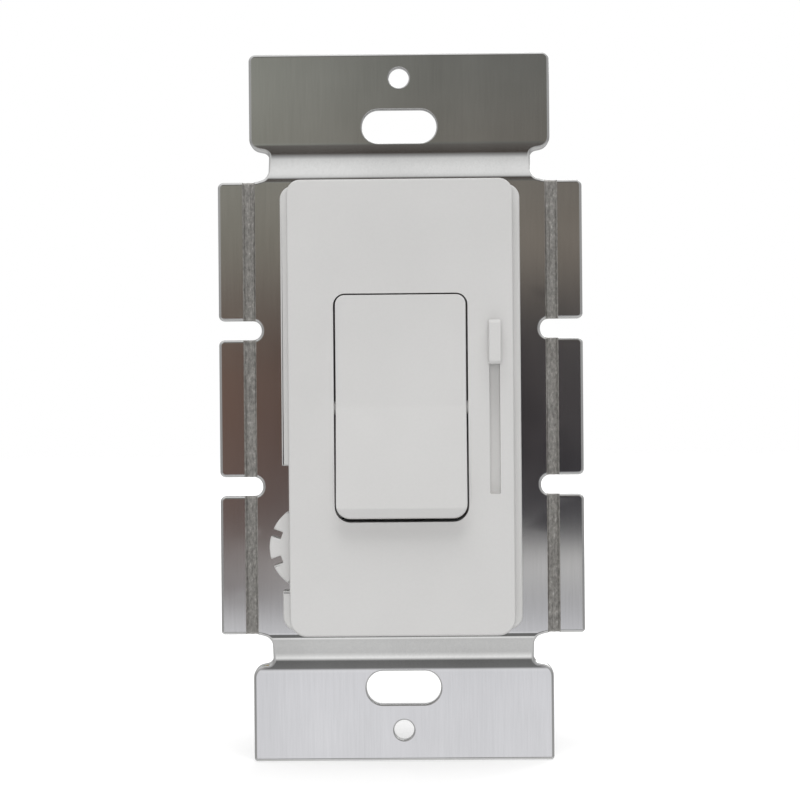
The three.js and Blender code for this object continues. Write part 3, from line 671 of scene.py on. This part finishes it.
def make_face():
    opening = rounded_rectangle(0, 0, 19.5, 33.2, 1.7, 2.3)
    slot = rounded_rectangle(SLIDER_X, 0, 1.5, 25.2, 0.2, steps=3)
    rounds = (FACE_ROUND_TOP, FACE_ROUND_BOTTOM)
    outline = rounded_rectangle(0, 0, FACE_WIDTH, FACE_HEIGHT, *rounds)
    cap = plate(outline, [opening, slot], FACE_FRONT, FACE_STEP, 0.3, 0.05, hole_round=0.07)
    inner = with_window(
        SKIRT_INNER_X, SKIRT_INNER_Z, WINDOW_X + SKIRT_WALL, SKIRT_WALL, (0.5, 0.5), 0.3, steps=3)
    outer = with_window(FACE_WIDTH / 2, FACE_HEIGHT / 2, WINDOW_X, 0, rounds, 0.15)
    skirt = plate(outer, [inner], FACE_STEP - OVERLAP, FACE_BACK, 0.05)
    outer = with_window(FLANGE_HALF_WIDTH, FLANGE_HALF_HEIGHT, WINDOW_X, 0, (2.0, 2.0), 0.15)
    flange = plate(outer, [inner], FACE_BACK - FLANGE_THICKNESS, FACE_BACK, 0.3)
    collar_outline = rounded_rectangle(0, 0, 22, 35.8, 1.0)
    collar = plate(collar_outline, [opening], FACE_STEP - OVERLAP, -5.0, 0.05, 0.1)
    bm = merge(cap, skirt, flange, collar)
    piece("face_shell", bm, "white_plastic", "frame", ["face_bezel"])


# ------------------------------------------------------------------ rocker paddle and its spring


def make_paddle():
    slope = math.tan(HALF_ROCK)
    outline = rounded_rectangle(0, 0, PADDLE_WIDTH, 2 * PADDLE_HALF_HEIGHT, 1.4, 2.0)
    bm = plate(outline, [], -PADDLE_CREASE, -PADDLE_CREASE + PADDLE_DEPTH, 0.2, 0.2, steps=5)
    slice_at(bm, 2, [0, 0.12, -0.12, BEVEL_START, BEVEL_START + 0.15, BEVEL_START - 0.15])

    def shape(point):
        """Two leaning halves that meet in a soft crease, and a bevel along the lower front edge."""
        x, y, z = point
        below = max(0.0, BEVEL_START - z)
        front_share = clamp((-PADDLE_CREASE + PADDLE_DEPTH * 0.8 - y) / (PADDLE_DEPTH * 0.5))
        lean = max(0.0, abs(z) - 0.05) * slope
        return Vector((x, y - lean + below * BEVEL_SLOPE * front_share, z))

    deform(bm, shape)
    trunnion = [(0, 8.0), (1.0, 8.0), (1.0, 10.6), (0.8, 10.8), (0, 10.8)]
    stem = [(0, -1), (2.4, -1), (2.4, 7.6), (2.2, 7.8), (1.45, 7.8), (1.45, 0.4), (0, 0.4)]
    trunnions = [lathe([(r, side * x) for r, x in trunnion], "x", 24) for side in (1, -1)]
    bm = merge(bm, *trunnions, lathe(stem, "y", 32))
    piece("paddle_cap", bm, "white_plastic", "paddle", ["rocker_paddle"], place=PADDLE_PLACE)


def make_spring():
    """The coil behind the plunger, with closed ends."""
    wire, radius, turns, low, high = 0.18, 0.85, 5, 0.9, 4.7
    closed, per_turn, sides = 0.6, 24, 10
    bm = bmesh.new()
    shade_layer = bm.verts.layers.float_vector.new(NORMAL)
    previous = None
    count = turns * per_turn
    for k in range(count + 1):
        turn = k / per_turn
        lift = clamp((turn - closed) / (turns - 2 * closed))
        out = Vector((math.cos(2 * math.pi * turn), 0, math.sin(2 * math.pi * turn)))
        middle = out * radius + Vector((0, low + (high - low) * lift, 0))
        ring = []
        for j in range(sides):
            angle = 2 * math.pi * j / sides
            normal = out * math.cos(angle) + Vector((0, math.sin(angle), 0))
            ring.append(bm.verts.new(middle + normal * wire))
            ring[-1][shade_layer] = normal
        if previous:
            for j in range(sides):
                n = (j + 1) % sides
                bm.faces.new((previous[j], previous[n], ring[n], ring[j]))
        if k in (0, count):
            bm.faces.new(ring)
        previous = ring
    bmesh.ops.recalc_face_normals(bm, faces=bm.faces[:])
    obj = piece("plunger_coil", bm, "steel", "paddle", ["plunger_spring"], place=PADDLE_PLACE)
    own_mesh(obj)


# ------------------------------------------------------------------ slider knob and trim wheel


def make_knob():
    front, back, half_height = -11.2, -8.8, 3.2
    outline = rounded_rectangle(SLIDER_X, 0, 1.75, 2 * half_height, 0.2, steps=5)
    bm = plate(outline, [], front, back, 0.18, 0.1)
    flat_end = half_height - 0.45
    slice_at(bm, 2, [side * (flat_end + step) for side in (1, -1) for step in (-0.06, 0.06)])

    def ease(point):
        """Slopes the front back at both ends."""
        x, y, z = point
        beyond = max(0.0, abs(z) - flat_end)
        return Vector((x, y + beyond * 0.5 * clamp(front + 1.2 - y), z))

    deform(bm, ease)
    neck_outline = rounded_rectangle(SLIDER_X, 0, 0.8, 4.2, 0.15, steps=3)
    bm = merge(bm, plate(neck_outline, [], back - 0.5, -5.2, 0.05))
    place = Matrix.Translation((0, 0, SLIDER_REST_Z))
    piece("slide_button", bm, "white_plastic", "slider", ["slider_knob"], place=place)


def make_wheel():
    corners = []
    teeth, half_slot, bottom, rim_steps = 9, 0.55, TRIM_RADIUS - 1.5, 10
    reach = math.asin(half_slot / TRIM_RADIUS)
    rim = TRIM_RADIUS * math.cos(reach)
    edge = (2 * math.pi / teeth - 2 * reach) / rim_steps
    for tooth in range(teeth):
        middle = 2 * math.pi * tooth / teeth
        along = Vector((math.cos(middle), math.sin(middle)))
        across = Vector((-along.y, along.x)) * half_slot
        slot = [along * rim - across, along * bottom - across]
        slot += [along * bottom + across, along * rim + across]
        corners += [(p.x, p.y, 0.14) for p in slot]
        for k in range(1, rim_steps):
            a = middle + reach + edge * k
            corners.append((TRIM_RADIUS * math.cos(a), TRIM_RADIUS * math.sin(a), 0))
    bm = plate(rounded_loop(corners, steps=4), [], -5.3, -4.2, 0.2, 0.1)
    hub = lathe([(0, -4.9), (1.35, -4.9), (1.35, 0.2), (1.2, 0.3), (0, 0.3)], "y", 24)
    place = Matrix.Translation((TRIM_X, 0, TRIM_Z))
    bm = merge(bm, hub)
    piece("trim_thumbwheel", bm, "white_plastic", "trim", ["trim_wheel"], place=place)


# ------------------------------------------------------------------ screws

# head radius, head height, shank radius, shank length
CASE_SCREW = (2.3, 1.6, 1.25, 32.1)
TERMINAL_SCREW = (3.6, 2.4, 1.8, 3.6)
GROUND_SCREW = (3.4, 2.4, 1.8, 2.6)
THREAD_PITCH = 0.5
THREAD_DEPTH = 0.18
TERMINALS = {  # side, height, material
    "common": (1, 12.0, "dark_screw"),
    "traveler_a": (-1, 12.0, "brass"),
    "traveler_b": (-1, -6.0, "brass"),
}


def recess_mesh(head_radius, head_height):
    """The crossed recess of a screw head, as two tapered bars."""
    arm, half = head_radius * 0.62, 0.28 if head_radius > 3 else 0.24
    top, low = head_height + 1, head_height * 0.42
    cross = bmesh.new()
    for across, along in ((arm, half), (half, arm)):
        points = [(-across, -along), (across, -along), (across, along), (-across, along)]
        upper = [cross.verts.new((x * 1.05, top, z * 1.05)) for x, z in points]
        lower = [cross.verts.new((x * 0.8, low, z * 0.8)) for x, z in points]
        cross.faces.new(upper)
        cross.faces.new(lower[::-1])
        for k in range(4):
            n = (k + 1) % 4
            cross.faces.new((upper[k], lower[k], lower[n], upper[n]))
    bmesh.ops.recalc_face_normals(cross, faces=cross.faces[:])
    return cross


def screw_mesh(head_radius, head_height, shank_radius, shank_length):
    """A pan head with a crossed recess on a threaded shank, with its head along +Y from 0."""
    crown = [(0, head_height)]
    for k in range(1, 9):
        a = k / 8 * math.pi / 2
        radius, along = 0.45 + 0.55 * math.sin(a), 0.35 + 0.65 * math.cos(a)
        crown.append((head_radius * radius, head_height * along))
    body = crown + [(head_radius, 0.15), (head_radius - 0.12, 0), (shank_radius, 0)]
    turns = max(3, int(shank_length / THREAD_PITCH))
    for k in range(turns):
        z = -shank_length * (k + 0.5) / turns
        root = shank_radius - THREAD_DEPTH
        body += [(shank_radius, z + 0.16), (root, z), (shank_radius, z - 0.16)]
    body += [(shank_radius * 0.7, -shank_length), (0, -shank_length)]
    return cut(lathe(body, "y"), [recess_mesh(head_radius, head_height)], use_self=True)


def make_screw(name, node, slot, size, place):
    obj = piece(name, screw_mesh(*size), slot, "frame", [node], place=place)
    soften(obj, 0.06, segments=2, angle=42)


def make_screws():
    for side, side_name in ((1, "right"), (-1, "left")):
        for end, end_name in ((1, "upper"), (-1, "lower")):
            place = Matrix.Translation((side * CASE_SCREW_X, 28.0 - 1.7, end * CASE_SCREW_Z))
            place = place @ Matrix.Rotation(0.5 + 1.1 * side + 0.7 * end, 4, "Y")
            name = f"{end_name}_{side_name}"
            make_screw(f"case_bolt_{name}", f"case_screw_{name}", "steel", CASE_SCREW, place)
    for k, (name, (side, z, slot)) in enumerate(TERMINALS.items()):
        place = Matrix.Translation((side * 17.3, 16.0, z))
        place = place @ Matrix.Rotation(-side * math.pi / 2, 4, "Z")
        place = place @ Matrix.Rotation(0.3 + 0.8 * k, 4, "Y")
        make_screw(f"terminal_bolt_{name}", f"terminal_screw_{name}", slot, TERMINAL_SCREW, place)
    place = Matrix.Translation((-23.3, 4.5, -28.2)) @ Matrix.Rotation(math.pi / 2, 4, "Z")
    make_screw("ground_bolt", "ground_screw", "green_screw", GROUND_SCREW, place)


# ------------------------------------------------------------------ housing


def make_housing():
    """The CAD housing with what a moulded one shows: a sunk back panel, a strip gauge, grooves."""
    solid = bmesh.new()
    solid.from_mesh(NODES["back_housing"].data)
    bmesh.ops.scale(solid, vec=(1 / MM,) * 3, verts=solid.verts)
    bmesh.ops.remove_doubles(solid, verts=solid.verts, dist=1e-3)
    high = Vector(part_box("back_housing")[1]) / MM
    panel = rounded_rectangle(0, 4.0, 27.0, 34.0, 1.6, steps=4)
    gauge = rounded_rectangle(0, -20.2, 11.0, 1.8, 0.85, steps=4)
    cutters = [
        plate(panel, [], high.y - 0.4, high.y + 1, 0.15),
        plate(gauge, [], high.y - 0.5, high.y + 1, 0.1),
    ]
    for side in (1, -1):
        for k in range(5):
            groove = rounded_rectangle(side * high.x, -14.5 - 2.4 * k, 0.9, 1.1, 0.3, steps=3)
            cutters.append(plate(groove, [], 20.0, 25.0, 0.05, 0.05))
    bm = cut(solid, cutters)
    bmesh.ops.remove_doubles(bm, verts=bm.verts[:], dist=2e-3)
    obj = piece("housing_shell", bm, "black_plastic", "frame", ["back_housing"])
    soften(obj, 0.3)


# ------------------------------------------------------------------ CAD pieces that stay

# width of the eased edges, in millimetres
EASED = {
    "terminal_plate_common": 0.12, "terminal_plate_traveler_a": 0.12,
    "terminal_plate_traveler_b": 0.12, "ground_bracket": 0.15, "slider_carrier": 0.08,
    "switch_base": 0.15, "film_capacitor": 0.8, "timing_capacitor": 0.5, "slide_pot_body": 0.15,
    "trim_pot_body": 0.2,
}


def finish_cad_nodes():
    """Materials for every CAD node by its slot, with a brightened white for the slider carrier as
    painted light on its shaded slot floor, and eased edges on the boxy ones.
    """
    for part in frame["record"]["subparts"]:
        node = part["node"]
        obj = NODES[node]
        # the slider carrier gets the brightened white: painted light on the shaded slot floor
        material = SHUTTER_PAINTED_LIGHT if node == "slider_carrier" else MATERIALS[part["material_slot"]]
        if not obj.material_slots:
            obj.data.materials.append(material)
        for material_slot in obj.material_slots:
            material_slot.material = material
        if node in EASED:
            weld = obj.modifiers.new("weld", "WELD")
            weld.merge_threshold = 2e-6
            soften(obj, EASED[node])


# ------------------------------------------------------------------ floor

FLOOR_RADIUS = 1.6  # metres, as are the two distances over which the floor fades out
FLOOR_FADE = (0.45, 1.5)
FLOOR_GLOW = 0.4


def make_floor():
    """A pale disc just under the strap that fades out before its rim."""
    bm = bmesh.new()
    bmesh.ops.create_circle(bm, cap_ends=True, cap_tris=True, segments=96, radius=FLOOR_RADIUS)
    floor = linked_object("studio_floor", to_mesh(bm, "studio_floor"))
    floor.location.z = (-STRAP_HALF_HEIGHT - 0.02) * MM
    s = Shader("pale_floor", Roughness=0.9)
    s.set("Emission Strength", FLOOR_GLOW)
    s.set("Emission Color", (1, 1, 1, 1))
    tone = [(0.3, grey(0.8)), (0.7, grey(0.815))]
    s.set("Base Color", s.ramp(s.noise(30, detail=2.0), tone))
    distance = s.add("VectorMath", {"operation": "LENGTH"}, Vector=s.coordinates)
    fade = s.mapped(distance.outputs["Value"], *FLOOR_FADE, smooth=True)
    clear = s.add("BsdfTransparent").outputs["BSDF"]
    blend = s.add("MixShader", Fac=fade)
    s.links.new(s.principled.outputs["BSDF"], blend.inputs[1])
    s.links.new(clear, blend.inputs[2])
    output = next(n for n in s.nodes if n.type == "OUTPUT_MATERIAL")
    s.links.new(blend.outputs["Shader"], output.inputs["Surface"])
    floor.data.materials.append(s.material)
    floor.visible_glossy = False
    floor.visible_diffuse = False


# ------------------------------------------------------------------ room, lights and camera

AMBIENT_SHARE = 0.75  # how much of the room the matt surfaces get; the gloss gets all of it
# Elevation in degrees and the colour of the room in front of the object, left and right.
LOW_ROOM = [
    (-90, grey(1.3)), (-60, grey(1.2)), (-46, grey(1.3)), (-38, grey(0.18)), (-18, grey(0.22)),
    (-12.5, (1.06, 1.06, 1.1)), (-7.5, (1.02, 1.02, 1.07)),
]
HIGH_ROOM = [
    (14, (0.15, 0.14, 0.13)), (34, (0.08, 0.068, 0.06)), (42, grey(0.45)), (50, grey(0.86)),
    (90, grey(1.0)),
]
ROOM_LEFT = LOW_ROOM + [
    (-6.5, (0.84, 0.84, 0.86)), (-5.95, (0.18, 0.15, 0.15)), (-3.4, (0.245, 0.165, 0.14)),
    (0, (0.255, 0.15, 0.11)), (2.5, (0.235, 0.19, 0.155)), (4, (0.26, 0.25, 0.205)),
    (9, (0.48, 0.49, 0.435)),
] + HIGH_ROOM
ROOM_RIGHT = LOW_ROOM + [
    (-6, (0.5, 0.5, 0.52)), (-4.75, (1.0, 0.99, 0.98)), (-4.25, (0.03, 0.03, 0.04)),
    (-1, (0.025, 0.025, 0.031)), (1.5, (0.036, 0.034, 0.04)), (4, (0.27, 0.235, 0.2)),
    (9, (0.17, 0.17, 0.157)),
] + HIGH_ROOM
# The rest of the room, by the height of the direction from 0 at the bottom to 1 at the top.
AROUND = [
    (0.0, grey(0.8)), (0.2, grey(0.7)), (0.45, grey(0.42)), (0.7, grey(0.6)), (1.0, grey(1.08)),
]
# Where one part of the room passes into the next, along a direction's X, its size, and its Y.
LEFT_TO_RIGHT = (-0.1, -0.02)
FRONT_TO_SIDES = (0.15, 0.32)
AROUND_TO_FRONT = (-0.45, -0.75)


def make_world():
    """White for the camera, and for everything else a soft room with a dim front."""
    world = bpy.data.worlds.new("studio")
    bpy.context.scene.world = world
    world.use_nodes = True
    world.node_tree.nodes.clear()
    w = Tree(world.node_tree)
    direction = w.add("SeparateXYZ", Vector=w.add("TexCoord").outputs["Generated"]).outputs
    height = w.mapped(direction["Z"], -1, 1)

    def room(stops):
        return w.ramp(height, [((math.sin(math.radians(e)) + 1) / 2, c) for e, c in stops])

    rightness = w.mapped(direction["X"], *LEFT_TO_RIGHT, smooth=True)
    front = w.mix(rightness, room(ROOM_LEFT), room(ROOM_RIGHT))
    around = w.ramp(height, AROUND)
    aside = w.add("Math", {"operation": "ABSOLUTE"}, Value=direction["X"]).outputs["Value"]
    front = w.mix(w.mapped(aside, *FRONT_TO_SIDES, smooth=True), front, around)
    lit = w.mix(w.mapped(direction["Y"], *AROUND_TO_FRONT, smooth=True), around, front)
    ray = w.add("LightPath").outputs
    strength = w.add("Math", {"operation": "MULTIPLY_ADD"}, Value=ray["Is Diffuse Ray"])
    strength.inputs[1].default_value = AMBIENT_SHARE - 1
    strength.inputs[2].default_value = 1.0
    colour = w.mix(ray["Is Camera Ray"], lit, (1, 1, 1, 1))
    background = w.add("Background", Color=colour, Strength=strength.outputs["Value"])
    w.add("OutputWorld", Surface=background.outputs["Background"])


def make_light(name, place, size, power, glossy=False):
    """An area light aimed at the object. In metres and watts."""
    data = bpy.data.lights.new(name, "AREA")
    data.shape = "RECTANGLE"
    data.size, data.size_y = size
    data.energy = power
    light = linked_object(name, data)
    light.location = place
    light.rotation_euler = (-Vector(place)).to_track_quat("-Z", "Y").to_euler()
    light.visible_glossy = glossy


def make_lights():
    make_light("key", (0.02, -1.15, 2.2), (1.5, 1.1), 16.8)
    make_light("front_fill", (-0.02, -1.0, 0.04), (0.35, 0.3), 1.9)
    make_light("low_fill", (0.0, -0.42, -0.3), (0.5, 0.3), 0.85)
    make_light("back_fill", (0.3, 0.9, 0.5), (0.8, 0.6), 4.0, glossy=True)


def make_camera():
    """The photo's view: place in millimetres and turns in degrees, fitted to the object's edges."""
    data = bpy.data.cameras.new("camera")
    data.sensor_width = 36
    data.lens = 90.5
    data.clip_start, data.clip_end = 0.01, 20
    camera = linked_object("camera", data)
    camera.location = [c * MM for c in (3.0, -300, 2.82)]
    camera.rotation_euler = [math.radians(a) for a in (89.6658, 0.4938, 0.6139)]
    bpy.context.scene.camera = camera


make_strap()
make_face()
make_paddle()
make_spring()
make_knob()
make_wheel()
make_screws()
make_housing()
finish_cad_nodes()
make_floor()
make_world()
make_lights()
make_camera()
bpy.context.scene.view_settings.view_transform = "Standard"
bpy.context.scene.view_settings.look = "None"
